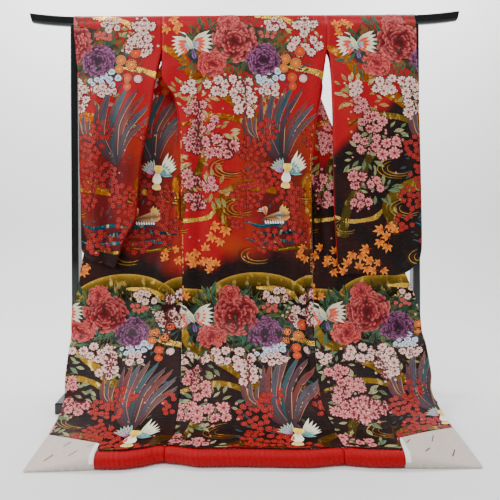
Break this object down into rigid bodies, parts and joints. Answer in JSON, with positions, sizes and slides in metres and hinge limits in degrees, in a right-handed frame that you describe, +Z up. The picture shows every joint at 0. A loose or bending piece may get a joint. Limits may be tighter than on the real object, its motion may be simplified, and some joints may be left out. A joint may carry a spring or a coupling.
{
  "type": "uchikake kimono on a kimono stand",
  "caption": "Padded bridal over-kimono hung by its sleeves on a black lacquered stand, seen from the back, with its hem swept out as a short train.",
  "frame": {"origin": "on the floor, under the middle of the whole part's box", "axes": "+Z up, the cloth's outer face and the train look along -Y, X along the stand's bar"},
  "size_m": [1.67, 0.7336, 1.489],
  "materials": {
    "patterned_cloth": "patterned silk with gold",
    "red_lining": "plain red silk",
    "white_wrap": "pale plain cloth",
    "black_lacquer": "glossy black lacquer on wood"
  },
  "bodies": {
    "root": {"back": "patterned_cloth", "front_left": "patterned_cloth", "front_right": "patterned_cloth", "sleeve_left_back": "patterned_cloth", "sleeve_left_front": "patterned_cloth", "sleeve_right_back": "patterned_cloth", "sleeve_right_front": "patterned_cloth", "collar_left": "patterned_cloth", "collar_right": "patterned_cloth", "collar_neck": "patterned_cloth", "hem_roll_back": "red_lining", "hem_roll_left": "red_lining", "hem_roll_right": "red_lining", "corner_left": "white_wrap", "corner_right": "white_wrap", "top_bar": "black_lacquer", "post_left": "black_lacquer", "post_right": "black_lacquer", "foot_left": "black_lacquer", "foot_right": "black_lacquer", "stretcher": "black_lacquer"}
  },
  "joints": []
}
